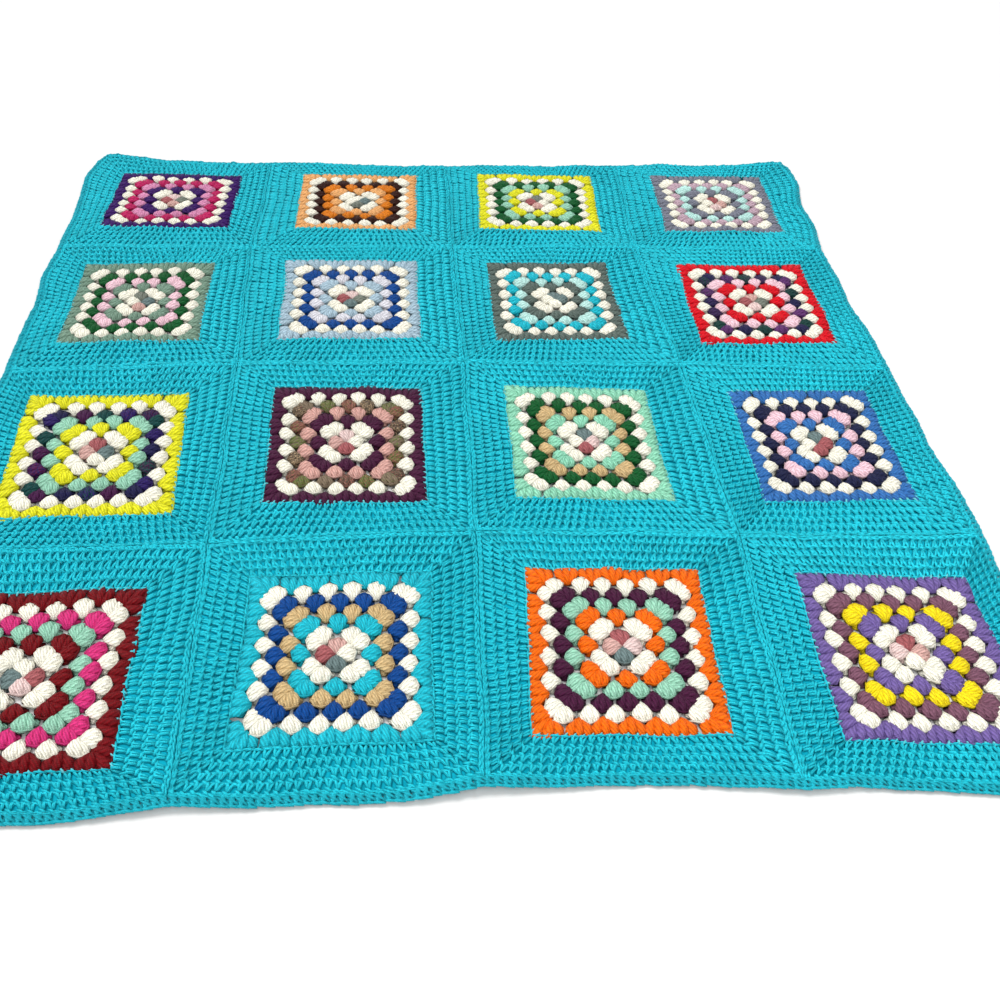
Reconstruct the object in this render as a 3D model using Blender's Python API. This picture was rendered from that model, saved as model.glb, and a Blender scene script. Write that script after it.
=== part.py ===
"""Crocheted granny square blanket, spread out flat.

Sixteen squares in four rows of four, each worked outwards in rounds: a seven-round
granny motif with a gap between each two clusters, then five plain rounds. A narrow
edging goes round the whole. Units are metres; X runs across, Y away, Z up.
"""

from collections import namedtuple

import bmesh
import bpy
from mathutils import Vector

MM = 0.001

# Layout of the joined squares
ROWS = 4
COLUMNS = 4
PITCH_X = 265.5 * MM
PITCH_Y = 284.2 * MM
SEAM_CLEARANCE = 0.2 * MM

# How far each seam crossing lies from the even grid, in mm. Rows run from far to
# near, columns from left to right; the first and last of each are the outer edge.
CROSSING_SHIFT_X = (
    (9, -5, 3, 9, 22),
    (9, -11, 1, -4, -4),
    (11, 1, 5, 6, -8),
    (14, 6, 2, 6, -18),
    (16, 12, -6, -12, -18),
)
CROSSING_SHIFT_Y = (
    (-13, -40, -36, -26, -1),
    (-6, -3, 2, 9, 3),
    (0, 14, 15, 11, 0),
    (-6, 1, 13, 1, -9),
    (2, 14, 20, 4, -14),
)
# How high the cloth stands off the floor at each crossing, in mm
CROSSING_LIFT = (
    (2, 3, 0, 2, 4),
    (2, 0, 0, 0, 3),
    (0, 0, 0, 0, 0),
    (2, 0, 0, 0, 4),
    (0, 4, 5, 3, 2),
)
# Bow of each side between two crossings, in mm: of the sides that run across,
# towards +Y, and of the sides that run away, towards +X
BOW_ACROSS = (
    (-7, 3, 0, -5),
    (3, 1, 1, 0),
    (0, 0, 0, 0),
    (1, 1, 0, 0),
    (-7, -8, 3, 0),
)
BOW_AWAY = (
    (-5, 2, 0, 0, 3),
    (-4, 0, 0, 0, 2),
    (-2, 0, 0, 0, 5),
    (-2, 0, 1, 0, 4),
)

# Each motif, in mm: shift of its middle from the even grid, its width and height,
# how much higher its right side lies (tilt) and how far its top leans right (lean)
Motif = namedtuple("Motif", "shift_x shift_y width height tilt lean")
MOTIFS = (
    (
        Motif(-2, -15, 175, 160, -2, 3),
        Motif(-1, -12, 172, 166, 1, 2),
        Motif(1, -5, 178, 174, -3, 8),
        Motif(14, -4, 178, 177, 1, 8),
    ),
    (
        Motif(-2, 2, 164, 176, 6, -3),
        Motif(-2, 9, 174, 184, 0, -4),
        Motif(-2, 6, 164, 184, 1, -2),
        Motif(2, 3, 177, 191, 1, 6),
    ),
    (
        Motif(4, -8, 173, 194, 5, -11),
        Motif(2, 7, 167, 192, -1, -4),
        Motif(-2, 4, 164, 189, -8, 2),
        Motif(0, -4, 167, 190, 0, 6),
    ),
    (
        Motif(4, -8, 175, 189, 5, -4),
        Motif(2, 5, 168, 184, 2, 2),
        Motif(-6, 1, 169, 188, -8, 11),
        Motif(-8, -11, 172, 190, -11, 12),
    ),
)

# Rounds of a motif, each a soft ridge with a trough outside it
MOTIF_ROUNDS = 7
MOTIF_RIDGE = 5.6 * MM
MOTIF_TROUGH = 4.0 * MM
MOTIF_MIDDLE = 4.6 * MM

# Plain rounds of the surround: four tall ones and a low one along the seam
PLAIN_ROUND_HEIGHTS = (9.8, 9.8, 9.8, 9.8, 6.0)
PLAIN_RIDGE = 4.9 * MM
PLAIN_TROUGH = 3.7 * MM
SEAM_RIDGE = 5.3 * MM
SEAM_EDGE = 3.6 * MM
RIDGE_PLACE = 0.6  # how far out in its round a ridge lies

# Gaps between neighbouring clusters of one round
GAP_ROUND = 5
GAPS_A_SIDE = 4
GAP_PITCH = 0.218  # of the side of the loop that the gaps lie on
GAP_WIDTH = 0.046  # of the same side

# Edging: distance out from the squares and height, from its inner foot, in mm
EDGING_PROFILE = ((0.2, 0.0), (5.5, 0.0), (8.0, 2.4), (5.6, 4.8), (0.2, 4.2))

SURROUND_COLOUR = (0.02, 0.44, 0.52, 1.0)
EDGING_COLOUR = (0.02, 0.40, 0.48, 1.0)

Square = namedtuple("Square", "middle motif_corners edge_corners bows lifts")
Ring = namedtuple("Ring", "reach height fractions")


def crossing(row, column):
    """Where four squares meet, or where a seam reaches the outer edge."""
    x = (column - COLUMNS / 2) * PITCH_X + CROSSING_SHIFT_X[row][column] * MM
    y = (ROWS / 2 - row) * PITCH_Y + CROSSING_SHIFT_Y[row][column] * MM
    return Vector((x, y))


def square_at(row, column):
    """The corners, bows and lifts of one square, clockwise from its far left."""
    motif = MOTIFS[row][column]
    middle = Vector(
        (
            (column - (COLUMNS - 1) / 2) * PITCH_X + motif.shift_x * MM,
            ((ROWS - 1) / 2 - row) * PITCH_Y + motif.shift_y * MM,
        )
    )
    motif_corners = []
    for right, up in ((-1, 1), (1, 1), (1, -1), (-1, -1)):
        x = right * motif.width + up * motif.lean
        y = up * motif.height + right * motif.tilt
        motif_corners.append(middle + Vector((x, y)) * (MM / 2))
    places = (
        (row, column),
        (row, column + 1),
        (row + 1, column + 1),
        (row + 1, column),
    )
    bows = (
        Vector((0, BOW_ACROSS[row][column] * MM)),
        Vector((BOW_AWAY[row][column + 1] * MM, 0)),
        Vector((0, BOW_ACROSS[row + 1][column] * MM)),
        Vector((BOW_AWAY[row][column] * MM, 0)),
    )
    return Square(
        middle,
        motif_corners,
        [crossing(*place) for place in places],
        bows,
        [CROSSING_LIFT[r][c] * MM for r, c in places],
    )


def edge_point(square, side, fraction):
    """A point on the seam line: straight between crossings, plus the side's bow."""
    start = square.edge_corners[side]
    end = square.edge_corners[(side + 1) % 4]
    bow = square.bows[side] * (4 * fraction * (1 - fraction))
    return start.lerp(end, fraction) + bow


def edge_lift(square, side, fraction):
    """The lift fades from each crossing to nothing at the middle of the side."""
    near_start = max(0.0, 1 - 2 * fraction) ** 2
    near_end = max(0.0, 2 * fraction - 1) ** 2
    return square.lifts[side] * near_start + square.lifts[(side + 1) % 4] * near_end


def point_at(square, ring, side, fraction):
    """A ring's point. Reach is 0 in the middle, 1 at the motif's edge, 2 at the seam."""
    start = square.motif_corners[side]
    end = square.motif_corners[(side + 1) % 4]
    motif_point = start.lerp(end, fraction)
    if ring.reach <= 1:
        place = square.middle.lerp(motif_point, ring.reach)
        return Vector((*place, ring.height))
    edge = edge_point(square, side, fraction)
    edge += (motif_point - edge).normalized() * SEAM_CLEARANCE
    place = motif_point.lerp(edge, ring.reach - 1)
    lift = edge_lift(square, side, fraction) * (ring.reach - 1)
    return Vector((*place, ring.height + lift))


def ring_points(bm, square, ring):
    """The ring's vertices, each with its place round the square from 0 to 4."""
    points = []
    for side in range(4):
        for fraction in ring.fractions:
            vertex = bm.verts.new(point_at(square, ring, side, fraction))
            points.append((side + fraction, vertex))
    return points


def band(bm, inner, outer):
    """Triangles between two rings, which may have different numbers of points."""
    i = 0
    j = 0
    while i < len(inner) or j < len(outer):
        here_in = inner[i % len(inner)][1]
        here_out = outer[j % len(outer)][1]
        next_in = inner[(i + 1) % len(inner)]
        next_out = outer[(j + 1) % len(outer)]
        place_in = next_in[0] if i + 1 < len(inner) else 4.0
        place_out = next_out[0] if j + 1 < len(outer) else 4.0
        if j == len(outer) or (i < len(inner) and place_in <= place_out):
            bm.faces.new((here_in, next_in[1], here_out))
            i += 1
        else:
            bm.faces.new((here_in, next_out[1], here_out))
            j += 1


def fan(bm, ring, middle):
    """Triangles from a middle point to a ring."""
    centre = bm.verts.new(middle)
    for (_, here), (_, there) in zip(ring, ring[1:] + ring[:1]):
        bm.faces.new((centre, here, there))


def gap_fractions():
    """Where the walls of the gaps stand along a side, from its first corner."""
    fractions = [0.0]
    for number in range(GAPS_A_SIDE):
        middle = 0.5 + (number - (GAPS_A_SIDE - 1) / 2) * GAP_PITCH
        fractions += [middle - GAP_WIDTH / 2, middle + GAP_WIDTH / 2]
    return fractions


def open_steps():
    """Which steps along a ring with gaps are open."""
    a_side = 2 * GAPS_A_SIDE + 1
    return {
        side * a_side + 2 * number + 1
        for side in range(4)
        for number in range(GAPS_A_SIDE)
    }


def pierced_band(bm, inner, outer):
    """A band of quads between like rings that leaves out the gaps."""
    count = len(inner)
    for step in set(range(count)) - open_steps():
        ahead = (step + 1) % count
        bm.faces.new(
            (inner[step][1], inner[ahead][1], outer[ahead][1], outer[step][1])
        )


def gap_walls(bm, top_inner, top_outer, foot_inner, foot_outer):
    """The four walls of each gap, from the top face to the underside."""
    count = len(top_inner)
    for step in open_steps():
        ahead = (step + 1) % count
        turns = (
            (top_inner[step], foot_inner[step]),
            (top_inner[ahead], foot_inner[ahead]),
            (top_outer[ahead], foot_outer[ahead]),
            (top_outer[step], foot_outer[step]),
        )
        for (top, foot), (next_top, next_foot) in zip(turns, turns[1:] + turns[:1]):
            bm.faces.new((top[1], next_top[1], next_foot[1], foot[1]))


def round_reach(number):
    """Reach of the outside of a motif round; the first round is half as wide again."""
    return (number + 0.5) / (MOTIF_ROUNDS + 0.5) if number else 0.0


def motif_rings(plain, pierced):
    """Ridge and trough of each motif round, with the two rings that hold the gaps."""
    rings = []
    for number in range(1, MOTIF_ROUNDS + 1):
        start = round_reach(number - 1)
        end = round_reach(number)
        ridge_reach = start + RIDGE_PLACE * (end - start)
        ridge_fractions = pierced if number == GAP_ROUND else plain
        trough_fractions = pierced if number == GAP_ROUND - 1 else plain
        rings.append(Ring(ridge_reach, MOTIF_RIDGE, ridge_fractions))
        rings.append(Ring(end, MOTIF_TROUGH, trough_fractions))
    return rings


def surround_rings(plain, curved):
    """Ridge and trough of each plain round, out to the seam edge."""
    total = sum(PLAIN_ROUND_HEIGHTS)
    rings = []
    start = 1.0
    for height in PLAIN_ROUND_HEIGHTS:
        end = start + height / total
        ridge_reach = start + RIDGE_PLACE * (end - start)
        last = height == PLAIN_ROUND_HEIGHTS[-1]
        rings.append(Ring(ridge_reach, SEAM_RIDGE if last else PLAIN_RIDGE, plain))
        rings.append(
            Ring(end, SEAM_EDGE if last else PLAIN_TROUGH, curved if last else plain)
        )
        start = end
    return rings


def make_square(row, column, material):
    square = square_at(row, column)
    plain = (0.0, 0.5)
    curved = (0.0, 0.25, 0.5, 0.75)
    pierced = gap_fractions()
    tops = motif_rings(plain, pierced) + surround_rings(plain, curved)
    gap_ring = 2 * (GAP_ROUND - 1) - 1  # the trough just inside the gaps
    feet = (
        Ring(tops[gap_ring].reach, 0.0, pierced),
        Ring(tops[gap_ring + 1].reach, 0.0, pierced),
        Ring(1.0, 0.0, plain),
        Ring(2.0, 0.0, curved),
    )
    bm = bmesh.new()
    top = [ring_points(bm, square, ring) for ring in tops]
    foot = [ring_points(bm, square, ring) for ring in feet]
    fan(bm, top[0], Vector((*square.middle, MOTIF_MIDDLE)))
    for number, (inner, outer) in enumerate(zip(top, top[1:])):
        if number == gap_ring:
            pierced_band(bm, inner, outer)
        else:
            band(bm, inner, outer)
    band(bm, top[-1], foot[-1])
    fan(bm, foot[0], Vector((*square.middle, 0.0)))
    pierced_band(bm, foot[0], foot[1])
    band(bm, foot[1], foot[2])
    band(bm, foot[2], foot[3])
    gap_walls(bm, top[gap_ring], top[gap_ring + 1], foot[0], foot[1])
    return finish(bm, f"square_{row + 1}_{column + 1}", material)


def outline_points():
    """Points of the joined squares' outer edge, clockwise, with the lift of each."""
    fractions = (0.0, 0.25, 0.5, 0.75)
    last_row = ROWS - 1
    last_column = COLUMNS - 1
    runs = (
        [(0, column, 0) for column in range(COLUMNS)]
        + [(row, last_column, 1) for row in range(ROWS)]
        + [(last_row, column, 2) for column in reversed(range(COLUMNS))]
        + [(row, 0, 3) for row in reversed(range(ROWS))]
    )
    points = []
    for row, column, side in runs:
        square = square_at(row, column)
        for fraction in fractions:
            place = edge_point(square, side, fraction)
            points.append((place, edge_lift(square, side, fraction)))
    return points


def outward(points, index):
    """Direction out of the outline at one point, long enough to keep an even width."""
    here = points[index][0]
    before = (here - points[index - 1][0]).normalized()
    after = (points[(index + 1) % len(points)][0] - here).normalized()
    normal_before = Vector((-before.y, before.x))
    normal_after = Vector((-after.y, after.x))
    middle = (normal_before + normal_after).normalized()
    return middle / middle.dot(normal_before)


def make_edging(material):
    points = outline_points()
    bm = bmesh.new()
    sections = []
    for index, (place, lift) in enumerate(points):
        direction = outward(points, index)
        section = []
        for distance, height in EDGING_PROFILE:
            spot = place + direction * (distance * MM)
            section.append(bm.verts.new((spot.x, spot.y, height * MM + lift)))
        sections.append(section)
    for section, following in zip(sections, sections[1:] + sections[:1]):
        for corner in range(len(section)):
            bm.faces.new(
                (
                    section[corner - 1],
                    section[corner],
                    following[corner],
                    following[corner - 1],
                )
            )
    return finish(bm, "edging", material)


def finish(bm, name, material):
    """Triangulate, face outwards and put into the scene."""
    bmesh.ops.recalc_face_normals(bm, faces=bm.faces)
    bmesh.ops.triangulate(bm, faces=bm.faces)
    mesh = bpy.data.meshes.new(name)
    bm.to_mesh(mesh)
    bm.free()
    mesh.materials.append(material)
    piece = bpy.data.objects.new(name, mesh)
    bpy.context.scene.collection.objects.link(piece)
    return piece


def yarn(name, colour):
    """Worsted acrylic yarn: matt, with no metal."""
    material = bpy.data.materials.new(name)
    material.use_nodes = True
    shader = material.node_tree.nodes["Principled BSDF"]
    shader.inputs["Base Color"].default_value = colour
    shader.inputs["Roughness"].default_value = 0.9
    shader.inputs["Metallic"].default_value = 0.0
    return material


def centre_on_origin(pieces):
    """Move every piece so that the whole stands centred on the origin."""
    corners = [vertex.co for piece in pieces for vertex in piece.data.vertices]
    low_x = min(corner.x for corner in corners)
    high_x = max(corner.x for corner in corners)
    low_y = min(corner.y for corner in corners)
    high_y = max(corner.y for corner in corners)
    shift = Vector(((low_x + high_x) / 2, (low_y + high_y) / 2, 0.0))
    for piece in pieces:
        for vertex in piece.data.vertices:
            vertex.co -= shift


def main():
    for old in list(bpy.data.objects):
        bpy.data.objects.remove(old)
    surround_yarn = yarn("turquoise_acrylic_yarn", SURROUND_COLOUR)
    edging_yarn = yarn("turquoise_edging_yarn", EDGING_COLOUR)
    pieces = []
    for row in range(ROWS):
        for column in range(COLUMNS):
            pieces.append(make_square(row, column, surround_yarn))
    pieces.append(make_edging(edging_yarn))
    centre_on_origin(pieces)


main()
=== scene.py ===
# %% [markdown]
# # A crocheted granny square blanket
#
# The real blanket is worked from one kind of stitch, the treble or double crochet:
# an upright post of yarn with a small loop on top. Sixteen squares are worked
# outwards in rounds, joined side to side, and bordered with one narrow round.
#
# A flat plane with a bump map would be the quick way to draw this. Here each stitch
# is a small modelled form instead, because the light has to fall into the holes
# between the posts and on the floor through the gaps of the motifs. One stitch of
# each kind is modelled and then copied along every round, as a hook does.
#
# The script starts from the fixed frame, whose solids give each square its place.

# %% Load the frame
import math
from collections import namedtuple

import bpy
import numpy as np
from mathutils import Matrix, Vector


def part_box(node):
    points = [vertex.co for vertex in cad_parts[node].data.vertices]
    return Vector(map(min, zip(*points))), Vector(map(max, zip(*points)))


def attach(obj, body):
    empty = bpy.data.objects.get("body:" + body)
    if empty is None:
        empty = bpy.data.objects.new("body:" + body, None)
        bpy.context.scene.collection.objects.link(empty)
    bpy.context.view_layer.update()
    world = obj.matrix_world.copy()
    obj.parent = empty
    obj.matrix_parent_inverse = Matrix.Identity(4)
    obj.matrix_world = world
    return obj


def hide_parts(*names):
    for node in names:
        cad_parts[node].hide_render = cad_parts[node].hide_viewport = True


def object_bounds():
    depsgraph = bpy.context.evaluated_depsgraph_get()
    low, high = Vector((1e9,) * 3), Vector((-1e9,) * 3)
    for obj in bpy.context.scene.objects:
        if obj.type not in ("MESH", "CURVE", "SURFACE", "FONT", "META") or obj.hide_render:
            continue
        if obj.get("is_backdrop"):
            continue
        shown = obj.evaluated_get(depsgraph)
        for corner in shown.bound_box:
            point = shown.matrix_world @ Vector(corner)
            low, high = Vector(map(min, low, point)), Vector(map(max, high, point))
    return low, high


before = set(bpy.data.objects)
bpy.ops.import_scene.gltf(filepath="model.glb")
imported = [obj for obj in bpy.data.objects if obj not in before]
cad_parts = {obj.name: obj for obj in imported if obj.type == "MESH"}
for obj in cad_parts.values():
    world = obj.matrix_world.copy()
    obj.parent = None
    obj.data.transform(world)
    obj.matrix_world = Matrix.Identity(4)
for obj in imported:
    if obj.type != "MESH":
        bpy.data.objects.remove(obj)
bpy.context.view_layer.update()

MM = 0.001
print("nodes in the frame:", len(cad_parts))

# %% [markdown]
# ## Camera
#
# The viewer stands in front of the near edge and looks down on the blanket at about
# 44 degrees, turned a little to the right, with the camera held a little crooked.
# Three turns put the camera there: about the upright, about its own side, and about
# the line of sight. This is easier to read and to correct than one matrix.

# %% Camera
VIEW_PLACE = Vector((-0.0762, -0.9692, 0.7225))
VIEW_TURN = math.radians(7.09)  # to the right of straight ahead
VIEW_DOWN = math.radians(43.60)
VIEW_ROLL = math.radians(4.13)
SENSOR_WIDTH = 36.0
LENS = 1.00167 * SENSOR_WIDTH

camera_data = bpy.data.cameras.new("view")
camera_data.sensor_width = SENSOR_WIDTH
camera_data.lens = LENS
camera = bpy.data.objects.new("view", camera_data)
camera.matrix_world = (
    Matrix.Translation(VIEW_PLACE)
    @ Matrix.Rotation(-VIEW_TURN, 4, "Z")
    @ Matrix.Rotation(math.pi / 2 - VIEW_DOWN, 4, "X")
    @ Matrix.Rotation(VIEW_ROLL, 4, "Z")
)
bpy.context.scene.collection.objects.link(camera)
bpy.context.scene.camera = camera
print("camera", [round(v, 3) for v in camera.location], "lens", round(LENS, 2))

# %% [markdown]
# ## Materials: two small helpers
#
# A colour is written as the hex value that a screen shows. Blender's shaders count
# in light, so one function turns each value to linear. A second function adds a
# node with its settings and its links in one call, which keeps a material readable
# from top to bottom.

# %% Colour and node helpers
def linear(hex_colour):
    """The linear RGBA of an sRGB value such as #23B2C2."""
    channels = []
    for start in (1, 3, 5):
        value = int(hex_colour[start : start + 2], 16) / 255
        low = value <= 0.04045
        channels.append(value / 12.92 if low else ((value + 0.055) / 1.055) ** 2.4)
    return (*channels, 1.0)


def add_node(tree, kind, inputs=None, **settings):
    """A node with its settings; an input is a value or another node's output."""
    node = tree.nodes.new(kind)
    for name, value in settings.items():
        setattr(node, name, value)
    for name, value in (inputs or {}).items():
        if isinstance(value, bpy.types.NodeSocket):
            tree.links.new(value, node.inputs[name])
        else:
            node.inputs[name].default_value = value
    return node


print("turquoise in light:", [round(v, 3) for v in linear("#23B2C2")])

# %% [markdown]
# ## Floor and light
#
# The floor is plain and near white, and it is stage, not part of the object. A wide
# soft light comes from high behind the far left corner, so that each post throws a
# small shadow towards the viewer, and a pale sky fills the holes. A weak window on
# the viewer's side lights the near squares a little more than the far ones. One
# small hard lamp would be simpler, and would make the yarn look like plastic.

# %% Floor
def clear_selection():
    """Operators act on all that is selected, and the loaded nodes are."""
    bpy.ops.object.select_all(action="DESELECT")


FLOOR_SIZE = 16.0
FLOOR_DROP = 0.2 * MM
FLOOR_COLOUR = "#D8D7D6"
FLOOR_ROUGHNESS = 0.9

clear_selection()
bpy.ops.mesh.primitive_plane_add(size=FLOOR_SIZE, location=(0, 0, 0))
floor = bpy.context.object
floor.name = "floor"
floor.data.transform(Matrix.Translation((0, 0, -FLOOR_DROP)))

matt_floor = bpy.data.materials.new("matt_pale_paper")
matt_floor.use_nodes = True
matt_shader = matt_floor.node_tree.nodes["Principled BSDF"]
matt_shader.inputs["Base Color"].default_value = linear(FLOOR_COLOUR)
matt_shader.inputs["Roughness"].default_value = FLOOR_ROUGHNESS
floor.data.materials.append(matt_floor)
floor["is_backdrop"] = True
print("floor of", FLOOR_SIZE, "m")

# %% Light
KEY_FROM = Vector((-1.5, 1.3, 2.8))
KEY_STRENGTH = 2.05
KEY_SPREAD = math.radians(28)
SKY_STRENGTH = 0.92
WINDOW_PLACE = Vector((0.3, -1.6, 1.4))
WINDOW_SIZE = 1.4
WINDOW_POWER = 12.0  # watts

key_data = bpy.data.lights.new("key_light", "SUN")
key_data.energy = KEY_STRENGTH
key_data.angle = KEY_SPREAD
key_light = bpy.data.objects.new("key_light", key_data)
key_light.rotation_euler = (-KEY_FROM).to_track_quat("-Z", "Y").to_euler()
bpy.context.scene.collection.objects.link(key_light)

window_data = bpy.data.lights.new("window", "AREA")
window_data.energy = WINDOW_POWER
window_data.size = WINDOW_SIZE
window = bpy.data.objects.new("window", window_data)
window.location = WINDOW_PLACE
window.rotation_euler = (-WINDOW_PLACE).to_track_quat("-Z", "Y").to_euler()
bpy.context.scene.collection.objects.link(window)

sky = bpy.data.worlds.new("pale_sky")
sky.use_nodes = True
sky.node_tree.nodes["Background"].inputs["Color"].default_value = linear("#FFFFFF")
sky.node_tree.nodes["Background"].inputs["Strength"].default_value = SKY_STRENGTH
bpy.context.scene.world = sky
bpy.context.scene.view_settings.view_transform = "Standard"
print("key light from", [round(v, 2) for v in KEY_FROM.normalized()])

# %% [markdown]
# ## Yarn
#
# The yarn is worsted acrylic: thin plies twisted together, soft, a little glossy,
# with fine loose fibres. A post of a stitch is this yarn looped round itself, so the
# eye gets slanting grooves at two sizes: between the loops of a post, and finer ones
# between the plies. The grooves between the loops get painted shade, deeper in tone
# than the ridges, which get painted light; the finer grooves of the plies are relief
# only. All yarn that lies low in the cloth gets painted shade too.
#
# Each strand carries its own UV map, "yarn": along the strand in millimetres, and
# once round it from 0 to 1. A sine of both together draws slanted grooves that close
# on themselves round the strand, which a stock wave texture doesn't. A noise in
# Object coordinates breaks the lines up as loose fibres do.

# %% Yarn material
PLIES, PLY_LENGTH = 5, 9.0  # how many plies show round a post, and mm for one turn
LOOPS, LOOP_LENGTH = 6, -34.0  # the same for its loops, which slant the other way
WOBBLE = 4.0  # how far loose fibres push the grooves about, in radians
FIBRE_CLUMP = 1.5 * MM  # real fibres are 0.02 mm; they are drawn in clumps that show
DYE_PATCH = 22 * MM  # how far apart lighter and deeper places of one dye lot lie
PLY_DEPTH, FIBRE_DEPTH = 0.5, 1.2  # where a groove between two loops counts as 1
YARN_RELIEF = 0.6 * MM
BUMP_STRENGTH = 0.8


def slanted_grooves(tree, count, length, fibres):
    """0 in the grooves and 1 on the ridges of so many turns round a strand."""
    strand = add_node(tree, "ShaderNodeUVMap", uv_map="yarn")
    turn = 2 * math.pi * count
    phase = add_node(
        tree,
        "ShaderNodeVectorMath",
        {0: strand.outputs["UV"], 1: (turn / length, turn, 0.0)},
        operation="DOT_PRODUCT",
    )
    phase = add_node(
        tree,
        "ShaderNodeMath",
        {0: fibres, 1: WOBBLE, 2: phase.outputs["Value"]},
        operation="MULTIPLY_ADD",
    )
    wave = add_node(tree, "ShaderNodeMath", {0: phase.outputs[0]}, operation="SINE")
    ridge = add_node(
        tree,
        "ShaderNodeMath",
        {0: wave.outputs[0], 1: 0.5, 2: 0.5},
        operation="MULTIPLY_ADD",
    )
    return ridge.outputs[0]


def spun_surface(tree):
    """The relief as 0 to 1, the fibres as 0 to 1, and the bump that both make."""
    place = add_node(tree, "ShaderNodeTexCoord")
    fibres = add_node(
        tree,
        "ShaderNodeTexNoise",
        {"Vector": place.outputs["Object"], "Scale": 1 / FIBRE_CLUMP, "Detail": 1.0},
    ).outputs["Fac"]
    plies = slanted_grooves(tree, PLIES, PLY_LENGTH, fibres)
    loops = slanted_grooves(tree, LOOPS, LOOP_LENGTH, fibres)
    relief = add_node(
        tree,
        "ShaderNodeMath",
        {0: plies, 1: PLY_DEPTH, 2: loops},
        operation="MULTIPLY_ADD",
    )
    relief = add_node(
        tree,
        "ShaderNodeMath",
        {0: fibres, 1: FIBRE_DEPTH, 2: relief.outputs[0]},
        operation="MULTIPLY_ADD",
    )
    bump = add_node(
        tree,
        "ShaderNodeBump",
        {
            "Height": relief.outputs[0],
            "Strength": BUMP_STRENGTH,
            "Distance": YARN_RELIEF,
        },
    )
    return loops, fibres, bump.outputs["Normal"]


# %% Painted shade, painted light and gloss of the yarn
DEEP, OPEN = 1.0 * MM, 3.4 * MM  # heights between which yarn comes out of the shade
DEEP_SHADE_TONE = 0.36  # painted shade of yarn that lies deep in the gaps of a motif
CLOSE_SHADE_TONE = 0.98  # painted shade of low yarn in the close rounds of a surround
# Painted shade in the grooves and painted light on the ridges of the loops:
GROOVE, RIDGE = 0.72, 1.16  # tones of a thick cluster's loops
CLOSE_GROOVE, CLOSE_RIDGE = 0.88, 1.06  # and of the thin loops in a surround
EDGING_SHADE_TONE = 0.6  # of the edging, whose outer side turns down into its own shade
# Each triple: painted shade of low yarn, then of the grooves, then painted light on the
# ridges
MOTIF_TONES = (DEEP_SHADE_TONE, GROOVE, RIDGE)
CLOSE_TONES = (CLOSE_SHADE_TONE, CLOSE_GROOVE, CLOSE_RIDGE)
EDGING_TONES = (EDGING_SHADE_TONE, CLOSE_GROOVE, CLOSE_RIDGE)

NOISE_RANGE = (0.3, 0.7)  # a noise hardly leaves it
PATCH_TONES = (0.92, 1.06)  # of an uneven dye
FIBRE_TONES = (0.86, 1.12)
SPECK_RANGE, SPECK_TONES = (0.64, 0.72), (1.0, 0.7)  # dark dots between fibres
FIBRE_ROUGHNESS = (0.36, 0.56)  # the smooth fibres of acrylic keep a soft gloss
COLOUR_A, COLOUR_B, COLOUR_MIXED = 6, 7, 2  # a Mix node's sockets for colours
ACRYLIC_IOR = 1.49
YARN_SPECULAR = 0.12
YARN_SHEEN, YARN_SHEEN_ROUGHNESS = 0.02, 0.5


def finish_yarn(material, tree, colour, tones, loops, fibres, normal):
    """Painted shade in grooves and low places, painted light on ridges, specks, uneven
    dye, a soft gloss.
    """
    deep_tone, groove, ridge = tones
    place = add_node(tree, "ShaderNodeTexCoord").outputs["Object"]
    patches = add_node(
        tree,
        "ShaderNodeTexNoise",
        {"Vector": place, "Scale": 1 / DYE_PATCH, "Detail": 2.0},
    ).outputs["Fac"]
    height = add_node(tree, "ShaderNodeSeparateXYZ", {"Vector": place}).outputs["Z"]
    # The sockets of Map Range: the value, the range it has and the range it gets
    shares = [
        add_node(tree, "ShaderNodeMapRange", dict(enumerate((value, *has, *gets))))
        for value, has, gets in (
            # painted shade in the grooves, painted light on the ridges of the loops
            (loops, (0.0, 1.0), (groove, ridge)),
            (patches, NOISE_RANGE, PATCH_TONES),
            (fibres, NOISE_RANGE, FIBRE_TONES),
            (fibres, SPECK_RANGE, SPECK_TONES),
            # painted shade of yarn that lies low in the cloth
            (height, (DEEP, OPEN), (deep_tone, 1.0)),
            (fibres, NOISE_RANGE, FIBRE_ROUGHNESS),
        )
    ]
    *tones, rough = [share.outputs[0] for share in shares]
    tone = tones[0]
    for share in tones[1:]:
        pair = {0: tone, 1: share}
        tone = add_node(tree, "ShaderNodeMath", pair, operation="MULTIPLY").outputs[0]
    toned = add_node(
        tree,
        "ShaderNodeMix",
        {0: 1.0, COLOUR_A: colour, COLOUR_B: tone},
        data_type="RGBA",
        blend_type="MULTIPLY",
    ).outputs[COLOUR_MIXED]
    shader = tree.nodes["Principled BSDF"]
    tree.links.new(toned, shader.inputs["Base Color"])
    tree.links.new(rough, shader.inputs["Roughness"])
    tree.links.new(normal, shader.inputs["Normal"])
    shader.inputs["IOR"].default_value = ACRYLIC_IOR
    shader.inputs["Specular IOR Level"].default_value = YARN_SPECULAR
    shader.inputs["Sheen Weight"].default_value = YARN_SHEEN
    shader.inputs["Sheen Roughness"].default_value = YARN_SHEEN_ROUGHNESS
    return material


def dyed_yarn(name, hex_colour, tones=MOTIF_TONES):
    """Worsted acrylic yarn in one dye, spun and plied: soft slanted lines."""
    material = bpy.data.materials.new(name)
    material.use_nodes = True
    tree = material.node_tree
    return finish_yarn(material, tree, linear(hex_colour), tones, *spun_surface(tree))


# %% [markdown]
# ## Yarn dyed in several colours
#
# In a few rounds the yarn changes colour as it runs, so that one cluster is navy and
# the next is plum. Such yarn is printed in lengths, here about one cluster long. So
# each cluster carries a number, "dye", and a colour ramp with hard steps turns it to
# one of the printed shades. The fibres push that number about a little, as the dye
# bleeds. A texture in space would be simpler, and would cut through clusters.

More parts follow.
